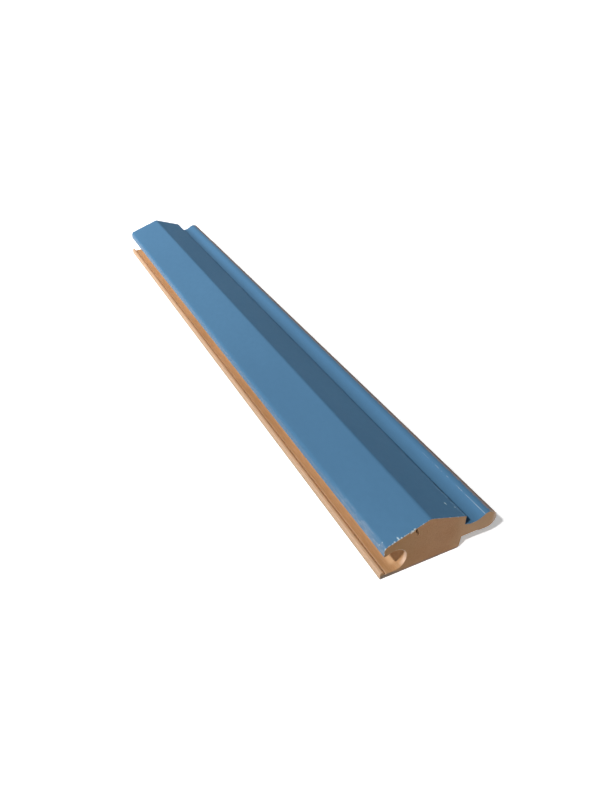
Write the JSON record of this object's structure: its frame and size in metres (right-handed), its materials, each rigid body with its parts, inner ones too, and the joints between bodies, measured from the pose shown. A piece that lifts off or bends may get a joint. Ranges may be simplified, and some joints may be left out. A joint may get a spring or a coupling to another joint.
{
  "type": "grooved and rebated batten",
  "caption": "Straight moulded MDF batten, painted blue on its show face, with a ridged front, a round socket along one edge and a nosed rebate along the other.",
  "frame": {"origin": "on the back face, in the middle of the overall width and length", "axes": "+X across the section from the socket edge to the rebated edge, +Y along the length, +Z from the back face to the ridge of the show face"},
  "size_m": [0.06, 0.4, 0.0248],
  "materials": {
    "painted_mdf": "satin paint on the show face and the lip, bare MDF on the back, the socket, the rebate and the sawn ends"
  },
  "bodies": {
    "root": {"batten": "painted_mdf"}
  },
  "joints": []
}
